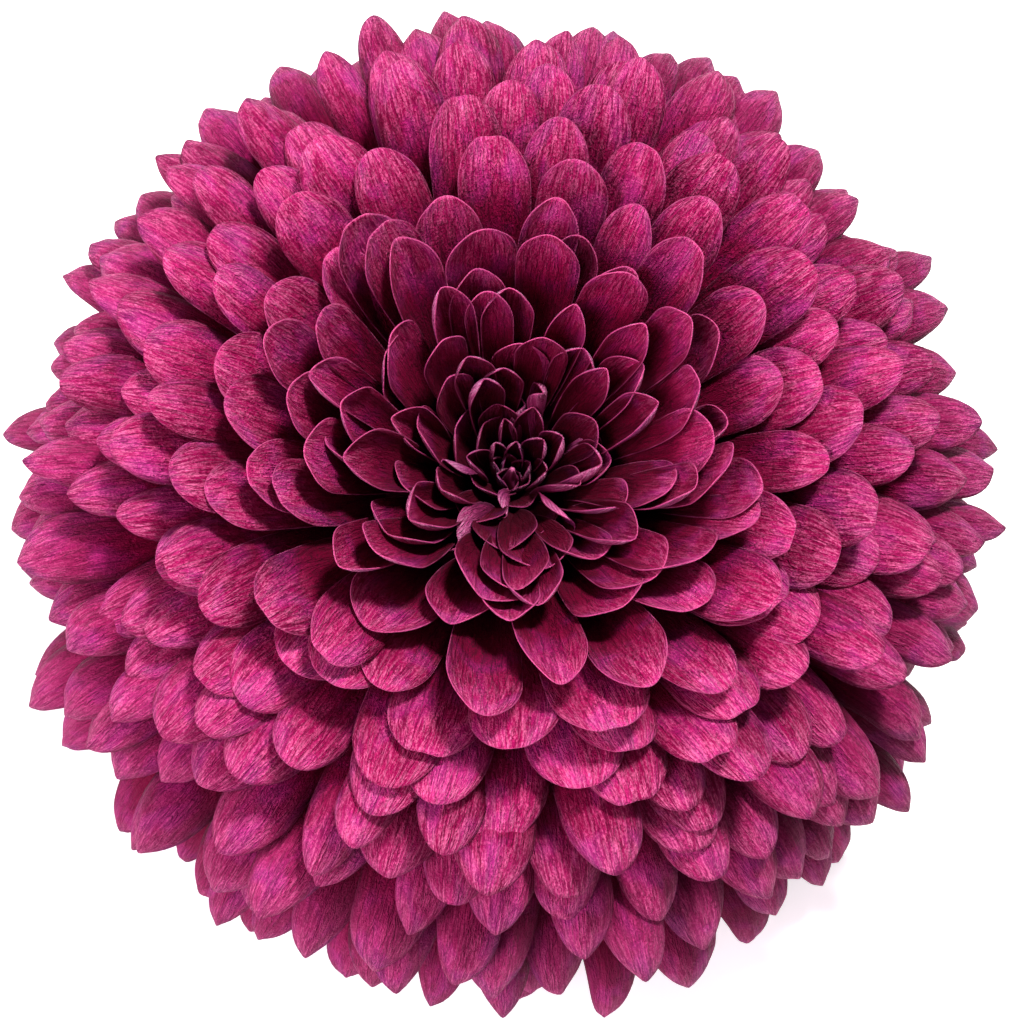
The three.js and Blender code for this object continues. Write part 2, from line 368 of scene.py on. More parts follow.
# The skins of a petal's face, its back and the thickness of its edge. lengthwise_with_shade is the colour
# from the foot
# (0) to the tip (1): partly the petal's own colour, and partly painted shade towards the foot and painted
#     light on
# the tip. heart is the one of the ranks up to heart_reach: partly the young florets' deeper colour, and
# partly painted shade of the deep heart. worn is the one of the outer ranks. painted_glint is the pale
# painted highlight near the tip, and rim the one along the very edge: partly its own paler colour, and partly
# painted highlight where it catches the light.
PETAL_LOOKS = {
    "petal_face": {
        "lengthwise_with_shade": [
            (0.3, (0.12, 0.0006, 0.013, 1)),
            (0.6, (0.2, 0.0008, 0.028, 1)),
            (0.76, (0.24, 0.0012, 0.042, 1)),
            (0.86, (0.3, 0.002, 0.066, 1)),
            (0.94, (0.46, 0.008, 0.12, 1)),
            (1.0, (0.74, 0.04, 0.25, 1)),
        ],
        "heart": (0.07, 0.0008, 0.009, 1),
        "heart_reach": 0.12,
        "worn": (0.46, 0.05, 0.21, 1),
        "painted_glint": (0.95, 0.24, 0.47, 1),
        "rim": (0.68, 0.14, 0.32, 1),
        "grain_depth": 0.85,
        "roughness": 0.5,
    },
    "petal_back": {
        "lengthwise_with_shade": [
            (0.3, (0.2, 0.006, 0.05, 1)),
            (0.6, (0.4, 0.025, 0.14, 1)),
            (0.85, (0.56, 0.06, 0.24, 1)),
            (1.0, (0.74, 0.17, 0.4, 1)),
        ],
        "heart": (0.07, 0.003, 0.02, 1),
        "heart_reach": 0.03,
        "worn": (0.52, 0.1, 0.28, 1),
        "painted_glint": (0.98, 0.6, 0.82, 1),
        "rim": (0.6, 0.16, 0.36, 1),
        "grain_depth": 1.0,
        "roughness": 0.56,
    },
    "petal_rim": {
        "lengthwise_with_shade": [
            (0.3, (0.1, 0.002, 0.02, 1)),
            (0.6, (0.26, 0.02, 0.09, 1)),
            (0.85, (0.42, 0.05, 0.16, 1)),
            (1.0, (0.5, 0.07, 0.2, 1)),
        ],
        "heart": (0.1, 0.005, 0.03, 1),
        "heart_reach": 0.12,
        "worn": (0.5, 0.07, 0.23, 1),
        "painted_glint": (0.88, 0.22, 0.45, 1),
        "rim": (0.45, 0.06, 0.19, 1),
        "grain_depth": 0.3,
        "roughness": 0.5,
    },
}


def colour_reach(recipe, petal):
    """How far along the ramp of its colour and painted shade a petal has got: uneven, and further on the
    outer ranks.
    """
    uneven = recipe.plus(petal["along"], recipe.effect(petal, REACH_BY_BLOTCH))
    return recipe.plus(uneven, recipe.effect(petal, REACH_BY_RANK))


def worn_share(recipe, petal):
    """How faded a petal is: more on the outer ranks and towards the tip, and unlike from petal to petal."""
    worn = recipe.plus(recipe.effect(petal, WORN_BY_RANK), recipe.effect(petal, WORN_BY_PETAL))
    return recipe.times(recipe.work_out("MAXIMUM", worn, 0.0), recipe.effect(petal, WORN_TOWARDS_TIP))


def heart_tone_and_shade(recipe, petal, heart_reach):
    """How dark a petal of the heart is: its own deeper colour and painted shade of the deep heart, less at
    its lit tip.
    """
    in_heart = recipe.between(petal["rank"], (heart_reach / 4, heart_reach), (HEART_SHARE, 0.0))
    at_tip = recipe.effect(petal, HEART_TIP_SHARE)
    return recipe.times(in_heart, recipe.between(petal["along"], HEART_TIP_LENGTH, (1.0, at_tip)))


def petal_shade(recipe, petal, crisp):
    """The grain's light and dark, each petal's own tone, and painted shade on outer ranks, deep in a scoop
    and on margins.
    """
    grain = recipe.work_out("SUBTRACT", recipe.effect(petal, *GRAIN_SHADE), 1.0)
    grain = recipe.work_out("MULTIPLY_ADD", grain, crisp, 1.0)
    scoop = recipe.plus(recipe.effect(petal, *SCOOP_SHADE), 1.0)
    margin = recipe.between(petal["along"], MARGIN_LENGTH, (recipe.effect(petal, MARGIN_SHADE), 1.0))
    return recipe.times(grain, recipe.effect(petal, *PETAL_TONE_AND_SHADE), scoop, margin)


def painted_glint_share(recipe, petal, crisp):
    """How much painted highlight there is: pale glints along the fibres and grains, which gather towards the
    tip.
    """
    glint_marks = recipe.times(petal["fibres"], GLINT_FIBRES)
    glint_marks = recipe.work_out("MULTIPLY_ADD", petal["grains"], GLINT_GRAINS, glint_marks)
    near_tip = recipe.work_out("POWER", recipe.between(petal["along"], GLINT_LENGTH), 2.0)
    return recipe.times(recipe.between(glint_marks, GLINT_SPAN), near_tip, crisp, GLINT_SHARE)


def make_petal_skin(name, looks):
    """A petal's skin: dark towards its foot and in the heart, partly as painted shade; veined along its
    length, faded further out.
    """
    material, recipe, skin = new_material(name)
    petal = values_of_blade(recipe)
    crisp = recipe.times(recipe.effect(petal, *CRISPNESS), looks["grain_depth"])
    # The lengthwise ramp is partly the petal's own colour, and partly painted shade at the foot and painted
    # light at the tip.
    colour = recipe.ramp(colour_reach(recipe, petal), looks["lengthwise_with_shade"])
    colour = recipe.blend(worn_share(recipe, petal), colour, looks["worn"])
    colour = recipe.blend(heart_tone_and_shade(recipe, petal, looks["heart_reach"]), colour, looks["heart"])
    colour = recipe.shaded(colour, petal_shade(recipe, petal, crisp))
    colour = recipe.blend(painted_glint_share(recipe, petal, crisp), colour, looks["painted_glint"])
    colour = recipe.blend(recipe.effect(petal, *LILAC_SHARE), colour, LILAC)
    colour = recipe.blend(recipe.effect(petal, *RIM_SHARE), colour, looks["rim"])
    ends = (looks["roughness"] + ROUGHNESS_SPREAD, looks["roughness"] - ROUGHNESS_SPREAD)
    roughness = recipe.plus(recipe.effect(petal, ROUGHER_HEART), recipe.between(petal["fibres"], UNIT, ends))
    relief = recipe.bump(recipe.times(petal["height"], crisp), 1.0, PETAL_RELIEF)
    recipe.feed(skin, {"Base Color": colour, "Roughness": roughness, "Normal": relief, **PETAL_FINISH})
    return material


petal_skins = [make_petal_skin(name, looks) for name, looks in PETAL_LOOKS.items()]
petal_face, petal_back, petal_rim = petal_skins

# ---------------------------------------------------------------- skins of the claws, bracts and stem

STEM_RADIUS = 2.3


def make_claw_shade_skin():
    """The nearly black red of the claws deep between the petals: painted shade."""
    material, recipe, skin = new_material("claw_shade_skin")
    noise = recipe.noise(recipe.object_place(), 900.0, 3.0)
    colour = recipe.ramp(noise, [(0.3, (0.012, 0.0005, 0.003, 1)), (0.7, (0.04, 0.001, 0.009, 1))])
    roughness = recipe.between(noise, NOISE_SPAN, (0.8, 0.7))
    relief = recipe.bump(noise, 0.3, 0.2 * MM)
    recipe.feed(skin, {"Base Color": colour, "Roughness": roughness, "Normal": relief})
    recipe.feed(skin, {"Specular IOR Level": PETAL_GLOSS})
    return material


def make_bract_skin():
    """A bract: green with fine veins, and thin and dry along its margin."""
    material, recipe, skin = new_material("bract_skin")
    bract = values_of_blade(recipe, ("own", "along", "inset"))
    reach = recipe.plus(bract["along"], recipe.effect(bract, ("blotch", NOISE_SPAN, (-0.12, 0.12))))
    stops = [(0.2, (0.2, 0.26, 0.08, 1)), (0.6, (0.1, 0.19, 0.035, 1)), (0.95, (0.07, 0.12, 0.03, 1))]
    shade = recipe.effect(bract, ("veins", UNIT, (1.1, 0.7)), ("own", UNIT, (0.85, 1.2)))
    dry = recipe.effect(bract, ("inset", (0.1, 0.5), (0.85, 0.0)))
    colour = recipe.blend(dry, recipe.shaded(recipe.ramp(reach, stops), shade), (0.42, 0.33, 0.2, 1))
    roughness = recipe.effect(bract, ("fibres", UNIT, (0.66, 0.5)))
    relief = recipe.bump(bract["height"], 0.6, 0.15 * MM)
    recipe.feed(skin, {"Base Color": colour, "Roughness": roughness, "Normal": relief})
    return material


def make_stem_skin():
    """Green stem skin, mottled, with fine pale down."""
    material, recipe, skin = new_material("stem_skin")
    place = recipe.object_place()
    mottle = recipe.noise(place, 260.0, 3.0)
    down = recipe.noise(place, 1200.0, 2.0, 0.7)
    colour = recipe.ramp(mottle, [(0.3, (0.09, 0.17, 0.03, 1)), (0.7, (0.19, 0.3, 0.07, 1))])
    colour = recipe.blend(recipe.between(down, (0.6, 0.72), (0.0, 0.5)), colour, (0.4, 0.42, 0.22, 1))
    roughness = recipe.between(mottle, NOISE_SPAN, (0.66, 0.5))
    relief = recipe.bump(down, 0.4, 0.15 * MM)
    recipe.feed(skin, {"Base Color": colour, "Roughness": roughness, "Normal": relief})
    return material


def make_cut_end():
    """The stub's cut end: pale pith in a ring of green skin."""
    material, recipe, skin = new_material("cut_end")
    place = recipe.object_place()
    flat = recipe.add("ShaderNodeVectorMath", {0: place, 1: (1.0, 1.0, 0.0)}, operation="MULTIPLY").outputs[0]
    radius = recipe.add("ShaderNodeVectorMath", {0: flat}, operation="LENGTH").outputs["Value"]
    noise = recipe.noise(place, 1600.0, 2.0)
    wavy = recipe.plus(radius, recipe.between(noise, NOISE_SPAN, (-0.12 * MM, 0.12 * MM)))
    rings = [
        (0.0, (0.62, 0.64, 0.42, 1)),
        (0.62, (0.5, 0.55, 0.27, 1)),
        (0.74, (0.24, 0.33, 0.1, 1)),
        (0.86, (0.34, 0.42, 0.16, 1)),
        (1.0, (0.14, 0.22, 0.05, 1)),
    ]
    colour = recipe.ramp(recipe.between(wavy, (0.0, STEM_RADIUS * MM)), rings)
    roughness = recipe.between(noise, NOISE_SPAN, (0.45, 0.65))
    relief = recipe.bump(noise, 0.4, 0.1 * MM)
    recipe.feed(skin, {"Base Color": colour, "Roughness": roughness, "Normal": relief})
    return material


claw_shade_skin = make_claw_shade_skin()
bract_skin = make_bract_skin()
stem_skin = make_stem_skin()
cut_end = make_cut_end()

# ---------------------------------------------------------------- measures of the florets

FLORETS = 440
HEART_CROWDING = 0.7
RECEPTACLE_RADIUS = 8
RECEPTACLE_RISE = 8
RECEPTACLE_RIM_HEIGHT = 10.4

# How a floret changes with its rank, from the heart (0) out to the collar (1), in millimetres and degrees.
# long and wide are the blade's size; rise and fall are its angles from upright at its foot and at its tip.
# dip and cup are half of the arc of its section near its foot and near its tip: above zero like a spoon.
# curl is how much further its last part bends: above zero outwards, below zero in towards the heart.
# widest is where along it is widest, point how pointed its tip is, and sunk the share hidden at its foot.
RANKS = (0, 0.016, 0.04, 0.115, 0.2, 0.29, 0.41, 0.56, 0.7, 0.84, 1)
AT_RANKS = {
    "long": (3.4, 5.8, 11.4, 20.9, 25.4, 27.1, 28.4, 29.2, 29.5, 29.8, 28.4),
    "wide": (1.9, 2.8, 3.9, 4.5, 4.7, 4.9, 5.1, 5.3, 5.2, 4.9, 4.5),
    "rise": (0, 6, 12, 20, 27, 32, 38, 46, 55, 66, 86),
    "fall": (4, 12, 21, 32, 43, 56, 74, 96, 115, 139, 183),
    "dip": (80, 80, 80, 72, 55, 40, 25, 15, 8, 0, 0),
    "cup": (80, 80, 74, 60, 26, -30, -60, -72, -76, -74, -64),
    "curl": (0, -20, -34, -26, -4, 22, 42, 54, 54, 42, 20),
    "widest": (0.76, 0.78, 0.82, 0.86, 0.87, 0.87, 0.865, 0.85, 0.82, 0.77, 0.7),
    "point": (0.5, 0.5, 0.5, 0.5, 0.5, 0.5, 0.52, 0.55, 0.62, 0.75, 0.9),
    "sunk": (0.3, 0.3, 0.32, 0.38, 0.44, 0.46, 0.46, 0.43, 0.37, 0.24, 0.04),
}
ANGLES = ("rise", "fall", "dip", "cup", "curl")

# How much florets of one rank differ, as shares of their size and in degrees.
LENGTH_SPREAD = 0.05
WIDTH_SPREAD = 0.15
TURN_SPREAD = 3.5
FALL_SPREAD = 6
TWIST_SPREAD = 16
LEAN_SPREAD = 3
CUP_SPREAD = 14
CURL_SPREAD = 16
NICK_DEPTH = 0.014
GROOVED_RANKS = (0.05, 0.35)
GROOVED_SPREAD = (0.5, 1.5)

# The heart is this many times as wild as the middle ranks, and the outer ranks are a little calmer.
WILDNESS = 3
WILD_RANKS = (0.02, 0.26)
RIM_WILDNESS = 0.8
CALM_RANKS = (0.5, 0.8)

# Some florets of the heart are short, folded and turned on their side.
FOLD_RANKS = (0.02, 0.07)
FOLDED_ABOVE = 0.6
FOLDED_LENGTH = 0.8
FOLD_CUP = 25
FOLD_TWIST = 85

# The bloom is a little narrower along X than along Y, and its heart opens towards one side.
OVALNESS = 0.033
OPENNESS = 0.22
OPEN_RANKS = (0.15, 0.45)
OPEN_SIDE = -math.pi / 2
OPEN_SIDE_WIDTH = 0.08
OPEN_SIDE_CUP = 8
OPEN_CUP_RANKS = (0.05, 0.15)
OPEN_SIDE_FALL = 30
OPEN_FALL_RANKS = (0.03, 0.16)
OPEN_FALL_MEAN = 0.4
OPEN_FALL_SWING = 0.6

# Every use of a draw has a number of its own, so that one draw says nothing about the next.
USES = {
    "turn": 1,
    "length": 2,
    "width": 3,
    "fall": 4,
    "twist": 5,
    "lean": 6,
    "cup": 7,
    "curl": 8,
    "nick": 9,
    "own": 10,
    "folded": 11,
    "fold side": 13,
    "bract length": 21,
    "bract own": 22,
}
INDEX_STEP = 12.9898
USE_STEP = 78.233
WAVE_HEIGHT = 43758.5453


def draw(index, use):
    """A number from -1 to 1 that is always the same for the same blade and use."""
    wave = math.sin(index * INDEX_STEP + USES[use] * USE_STEP) * WAVE_HEIGHT
    return 2 * (wave - math.floor(wave)) - 1


def mix(first, second, share):
    return first + (second - first) * share


def smoothstep(value, low, high):
    share = min(1.0, max(0.0, (value - low) / (high - low)))
    return share * share * (3 - 2 * share)


def measures_at(rank):
    upper = next(place for place in range(1, len(RANKS)) if RANKS[place] >= rank)
    share = (rank - RANKS[upper - 1]) / (RANKS[upper] - RANKS[upper - 1])
    return {key: mix(values[upper - 1], values[upper], share) for key, values in AT_RANKS.items()}


def even_floret(rank, lead=0.0):
    """A floret's measures at any rank, before its own unevenness. The lead is how much further open it is."""
    floret = measures_at(rank * (1 + lead))
    for key in ANGLES:
        floret[key] = math.radians(floret[key])
    foot_height = RECEPTACLE_RIM_HEIGHT + RECEPTACLE_RISE * (1 - rank)
    floret.update(rank=rank, foot=RECEPTACLE_RADIUS * math.sqrt(rank), foot_height=foot_height)
    floret.update(turn=0.0, twist=0.0, lean=0.0, nick=0.0, own=0.5)
    return floret


def floret_number(index):
    """One floret of the golden-angle spiral, with its own unevenness."""
    order = index / (FLORETS - 1)
    rank = order * mix(HEART_CROWDING, 1, order)
    calm = mix(1, RIM_WILDNESS, smoothstep(rank, *CALM_RANKS))
    wild = mix(WILDNESS, 1, smoothstep(rank, *WILD_RANKS)) * calm
    turn = index * GOLDEN_ANGLE + math.radians(TURN_SPREAD * wild * draw(index, "turn"))
    facing = math.cos(turn - OPEN_SIDE)
    openness = facing * (1 - smoothstep(rank, *OPEN_RANKS))
    open_fall = max(0.0, OPEN_FALL_MEAN + OPEN_FALL_SWING * facing) * (1 - smoothstep(rank, *OPEN_FALL_RANKS))
    floret = even_floret(rank, OPENNESS * openness)
    floret["turn"] = turn
    floret["long"] *= (1 + LENGTH_SPREAD * wild * draw(index, "length")) * (1 - OVALNESS * math.cos(2 * turn))
    floret["wide"] *= (1 + WIDTH_SPREAD * draw(index, "width")) * (1 + OPEN_SIDE_WIDTH * facing)
    floret["fall"] += math.radians(FALL_SPREAD * draw(index, "fall"))
    floret["fall"] += math.radians(OPEN_SIDE_FALL) * open_fall
    floret["twist"] = math.radians(TWIST_SPREAD * draw(index, "twist"))
    floret["lean"] = math.radians(LEAN_SPREAD * draw(index, "lean"))
    floret["cup"] += math.radians(OPEN_SIDE_CUP) * openness * smoothstep(rank, *OPEN_CUP_RANKS)
    floret["cup"] += math.radians(CUP_SPREAD * wild * draw(index, "cup"))
    floret["curl"] += math.radians(CURL_SPREAD * draw(index, "curl"))
    floret["nick"] = NICK_DEPTH * max(0.0, draw(index, "nick"))
    floret["own"] = 0.5 + 0.5 * draw(index, "own")
    floret["grooved"] = smoothstep(rank, *GROOVED_RANKS) * mix(*GROOVED_SPREAD, floret["own"])
    if FOLD_RANKS[0] < rank < FOLD_RANKS[1] and draw(index, "folded") > FOLDED_ABOVE:
        floret["long"] *= FOLDED_LENGTH
        floret["cup"] += math.radians(FOLD_CUP)
        floret["twist"] = math.radians(math.copysign(FOLD_TWIST, draw(index, "fold side")))
    return floret


# ---------------------------------------------------------------- shape of a blade

CLAW_SHARE = 0.32
CLAW_END = 0.2
BEND_LATENESS = 2
CURL_START = 0.7
CURL_LATENESS = 1.5
SECTION_LENGTH = (0.25, 0.85)
CENTRELINE_STEPS = 40
NICK_WIDTH = 0.3
NICK_LATENESS = 8

RIBS = 3
GROOVE_DEPTH = 0.16
GROOVED_LENGTH = (0.5, 0.85)
GROOVE_FADE = 0.6
GROOVE_FADE_LENGTH = (0.95, 1)
RUFFLE = 0.16
RUFFLE_WAVES = 2.3
RUFFLE_OFFSET = 1.7
RUFFLE_NARROWNESS = 3

# A blade is bent from a flat sheet of 1 by 1, with this share of its rows up to the blade's widest place.
SHEET_COLUMNS = 6
SHEET_ROWS = 8
SHAFT_SHARE = 0.5
MAP_SPAN = 30


def bend_angle(blade, share):
    curl = blade["curl"] * max(0.0, (share - CURL_START) / (1 - CURL_START)) ** CURL_LATENESS
    return mix(blade["rise"], blade["fall"], share**BEND_LATENESS) + curl


def centreline(blade):
    """Places (out from the axis, up) and angles along a blade, from its foot to its tip."""
    out, up = blade["foot"], blade["foot_height"]
    step = blade["long"] / CENTRELINE_STEPS
    line = [(out, up, blade["rise"])]
    for number in range(CENTRELINE_STEPS):
        angle = bend_angle(blade, (number + 0.5) / CENTRELINE_STEPS)
        out += math.sin(angle) * step
        up += math.cos(angle) * step
        line.append((out, up, bend_angle(blade, (number + 1) / CENTRELINE_STEPS)))
    return line


def place_on(line, share):
    place = min(1.0, max(0.0, share)) * CENTRELINE_STEPS
    lower = min(CENTRELINE_STEPS - 1, int(place))
    return [mix(first, second, place - lower) for first, second in zip(line[lower], line[lower + 1])]


def half_width(blade, share):
    widening = smoothstep(share, min(CLAW_END, blade["widest"] / 2), blade["widest"])
    past = max(0.0, (share - blade["widest"]) / (1 - blade["widest"]))
    return blade["wide"] / 2 * mix(CLAW_SHARE, 1, widening) * max(0.0, 1 - past**2) ** blade["point"]


def blade_point(blade, line, share, across, above):
    """A point of a blade: across is from -1 to 1 over its width, and above is the height over its face."""
    out, up, angle = place_on(line, share)
    outward = Vector((math.cos(blade["turn"]), math.sin(blade["turn"]), 0))
    sideways = Vector((-math.sin(blade["turn"]), math.cos(blade["turn"]), 0))
    upward = Vector((0, 0, 1))
    inner = upward * math.sin(angle) - outward * math.cos(angle)
    twist = blade["twist"] * share
    breadth = sideways * math.cos(twist) + inner * math.sin(twist)
    face = inner * math.cos(twist) - sideways * math.sin(twist)
    arc = mix(blade["dip"], blade["cup"], smoothstep(share, *SECTION_LENGTH))
    arc = arc if abs(arc) > TINY else TINY
    radius = half_width(blade, share) / arc
    bend = arc * across
    spine = outward * out + upward * up + sideways * (math.tan(blade["lean"]) * blade["long"] * share**2)
    rolled = breadth * ((radius - above) * math.sin(bend))
    return spine + rolled + face * (radius * (1 - math.cos(bend)) + above * math.cos(bend))


def sheet_place(blade, across, row):
    """Where a place of the flat sheet lies on the blade: its share of the length, its place across, and how
    far it is from the edge. Past the widest place the sheet's corners are drawn in, so the tip is round."""
    if row <= SHAFT_SHARE:
        share = mix(blade["sunk"], blade["widest"], row / SHAFT_SHARE)
        return share, across, (1 - abs(across)) * half_width(blade, share)
    towards_tip = math.sqrt(2) * math.sin((row - SHAFT_SHARE) / (1 - SHAFT_SHARE) * math.pi / 4)
    ahead = towards_tip * math.sqrt(1 - across * across / 2)
    side = across * math.sqrt(1 - towards_tip * towards_tip / 2)
    spread = math.hypot(ahead, side)
    reach = math.sqrt(max(0.0, 1 - ahead * ahead))
    over = max(-1.0, min(1.0, side / reach)) if reach > TINY else 0.0
    tip_size = (1 - blade["widest"]) * blade["long"]
    inset = (1 - spread) / max(spread, TINY) * math.hypot(ahead * tip_size, side * blade["wide"] / 2)
    nick = blade["nick"] * math.exp(-((across / NICK_WIDTH) ** 2)) * towards_tip**NICK_LATENESS
    return mix(blade["widest"], 1, ahead) - nick, over, min(inset, blade["wide"] / 2)


def relief(blade, across, share):
    """How far the face stands out: two furrows between three low ribs near the tip, and a ruffled edge."""
    fade = 1 - GROOVE_FADE * smoothstep(share, *GROOVE_FADE_LENGTH)
    depth = GROOVE_DEPTH * smoothstep(share, *GROOVED_LENGTH) * fade * blade["grooved"]
    ribs = depth * math.cos(RIBS * math.pi * across) * math.sqrt(max(0.0, 1 - across * across))
    wave = math.tau * (RUFFLE_WAVES * share + blade["own"]) + RUFFLE_OFFSET * math.copysign(1, across)
    return ribs + RUFFLE * blade["grooved"] * math.sin(wave) * abs(across) ** RUFFLE_NARROWNESS


def new_blades():
    mesh = bmesh.new()
    layers = {name: mesh.verts.layers.float.new(name) for name in BLADE_VALUES}
    return mesh, layers, mesh.loops.layers.uv.new("petal")


def add_blade(blades, blade, lowest):
    """Bends a flat sheet into a blade, none of which lies below the lowest height."""
    mesh, layers, chart = blades
    line = centreline(blade)
    sheet = bmesh.ops.create_grid(mesh, x_segments=SHEET_COLUMNS, y_segments=SHEET_ROWS, size=0.5)
    for corner in sheet["verts"]:
        across = 2 * corner.co.x
        share, over, inset = sheet_place(blade, across, corner.co.y + 0.5)
        corner[layers["own"]] = blade["own"]
        corner[layers["along"]] = share
        corner[layers["inset"]] = inset
        corner[layers["rank"]] = blade["rank"]
        for loop in corner.link_loops:
            loop[chart].uv = (0.5 + across * blade["wide"] / 2 / MAP_SPAN, share * blade["long"] / MAP_SPAN)
        place = blade_point(blade, line, share, -over, relief(blade, across, share))
        place.z = max(place.z, lowest)
        corner.co = place * MM
    for face in {face for corner in sheet["verts"] for face in corner.link_faces}:
        face.smooth = True


def finish_piece(name, mesh, materials):
    data = bpy.data.meshes.new(name)
    mesh.to_mesh(data)
    mesh.free()
    piece = bpy.data.objects.new(name, data)
    bpy.context.scene.collection.objects.link(piece)
    for material in materials:
        data.materials.append(material)
    return piece


def soften(piece, levels):
    smooth = piece.modifiers.new("soften", "SUBSURF")
    smooth.levels = smooth.render_levels = levels


def thicken(piece, thickness, back=0, rim=0):
    """Gives a sheet its thickness. back and rim are the places of their materials in the piece's list."""
    wall = piece.modifiers.new("thickness", "SOLIDIFY")
    wall.thickness = thickness * MM
    wall.offset = 0
    wall.material_offset = back
    wall.material_offset_rim = rim


# ---------------------------------------------------------------- florets

PETAL_THICKNESS = 0.07

# Each zone's name, the rank that it starts at, and the one that it ends below.
ZONES = (
    ("heart_florets", 0.0, 0.16),
    ("crown_florets", 0.16, 0.42),
    ("shoulder_florets", 0.42, 0.7),
    ("skirt_florets", 0.7, 1.01),
)


def make_florets():
    bloom = [floret_number(index) for index in range(FLORETS)]
    pieces = []
    for name, first, last in ZONES:
        blades = new_blades()
        for floret in bloom:
            if first <= floret["rank"] < last:
                add_blade(blades, floret, PETAL_THICKNESS)
        piece = finish_piece(name, blades[0], (petal_face, petal_back, petal_rim))
        soften(piece, 1)
        thicken(piece, PETAL_THICKNESS, back=1, rim=2)
        pieces.append(piece)
    return pieces


# ---------------------------------------------------------------- core and bud

CORE_RANKS = (1, 0.8, 0.55, 0.3, 0.12, 0.03, 0)
CORE_UNDERSIDE = RECEPTACLE_RIM_HEIGHT - 0.7
CORE_COVER = 0.04
CORE_SIDES = 64
BUD_FOOT_HEIGHT = 19.2
BUD_HEIGHT = 4.2
BUD_RADIUS = 0.7
BUD_FOOT_SHARE = 0.55
BUD_SWELLING = 1.5
BUD_BLUNTNESS = 3
BUD_STEPS = 12
BUD_SIDES = 40
BUD_FOLDS = 5
BUD_FOLD_DEPTH = 0.16
BUD_TWIST = 5
BUD_OWN = 0.8
BUD_RANK = 0.02
BUD_ALONG = (0.4, 1.0)


def lathe(mesh, outline, sides):
    """A solid of revolution about the axis. Its outline of places (out, up) begins and ends on the axis."""
    corners = [mesh.verts.new((out * MM, 0, up * MM)) for out, up in outline]
    parts = corners + [mesh.edges.new(pair) for pair in zip(corners, corners[1:])]
    bmesh.ops.spin(
        mesh, geom=parts, cent=(0, 0, 0), axis=(0, 0, 1), angle=2 * math.pi, steps=sides, use_merge=True
    )
    bmesh.ops.remove_doubles(mesh, verts=mesh.verts, dist=TINY * MM)
    bmesh.ops.recalc_face_normals(mesh, faces=mesh.faces)
    for face in mesh.faces:
        face.smooth = True


def make_core():
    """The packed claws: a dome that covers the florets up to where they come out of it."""
    mesh = bmesh.new()
    outline = [(0, CORE_UNDERSIDE), (RECEPTACLE_RADIUS, CORE_UNDERSIDE)]
    for rank in CORE_RANKS:
        floret = even_floret(rank)
        out, up, _ = place_on(centreline(floret), floret["sunk"] + CORE_COVER)
        outline.append((0 if rank == 0 else out, up))
    lathe(mesh, outline, CORE_SIDES)
    return finish_piece("packed_claws", mesh, (claw_shade_skin,))


def bud_outline():
    outline = [(0, BUD_FOOT_HEIGHT)]
    for step in range(BUD_STEPS + 1):
        share = step / BUD_STEPS
        swelling = mix(BUD_FOOT_SHARE, 1, math.sin(math.pi * min(1, share * BUD_SWELLING)))
        closing = math.sqrt(max(0, 1 - share**BUD_BLUNTNESS))
        outline.append((BUD_RADIUS * swelling * closing, BUD_FOOT_HEIGHT + BUD_HEIGHT * share))
    return outline


def make_bud():
    """The unopened middle: a small pale cone of florets still wrapped round each other."""
    mesh, layers, _ = new_blades()
    lathe(mesh, bud_outline(), BUD_SIDES)
    for corner in mesh.verts:
        share = (corner.co.z / MM - BUD_FOOT_HEIGHT) / BUD_HEIGHT
        fold = math.sin(BUD_FOLDS * math.atan2(corner.co.y, corner.co.x) + BUD_TWIST * share)
        swell = 1 + BUD_FOLD_DEPTH * fold
        corner.co.x *= swell
        corner.co.y *= swell
        corner[layers["own"]] = BUD_OWN
        corner[layers["along"]] = mix(*BUD_ALONG, share)
        # inset is lowest in the hollows between the folds, where the skin's margin darkening paints shade.
        corner[layers["inset"]] = 0.5 + 0.5 * fold
        corner[layers["rank"]] = BUD_RANK
    return finish_piece("heart_bud", mesh, (petal_back,))


# ---------------------------------------------------------------- stem, cup and bracts

STEM_END_HEIGHT = 0.8
STEM_SIDES = 72
STEM_RIBS = 9
STEM_RIB_DEPTH = 0.035
STEM_RIB_FADE = (2.4, 5.0)
SEAT_GAP = 0.3
CUP_RADIUS = 8.3
CUP_FOOT_HEIGHT = 3.4
CUP_TOP_HEIGHT = CORE_UNDERSIDE - SEAT_GAP
CUP_STEPS = 10

# Places (out, up) over the cut end, a little hollow at the pith, and the heights of the rings above it.
CUT_OUTLINE = ((0, 0.06), (0.9, 0.04), (1.7, 0), (2.15, 0))
STUB_RINGS = (0.15, 0.9, 1.8)
CUT_REACH = 0.1
CUT_SLOPE = -0.9

# The bracts lie on the cup in a golden-angle spiral, from long ones low down to shorter ones higher up.
BRACTS = 29
BRACT_THICKNESS = 0.28
BRACT_REACH = 0.4
BRACT_CUP = math.radians(14)
BRACT_LENGTH_SPREAD = 0.04
FIRST_BRACT = {"long": 5.6, "from": 0.12}
LAST_BRACT = {"long": 3.9, "from": 0.62}
BRACT_MEASURES = {
    "wide": 3.3,
    "widest": 0.45,
    "point": 0.8,
    "sunk": 0.0,
    "dip": BRACT_CUP,
    "cup": BRACT_CUP,
    "curl": 0.0,
    "twist": 0.0,
    "lean": 0.0,
    "nick": 0.0,
    "grooved": 0.35,
}


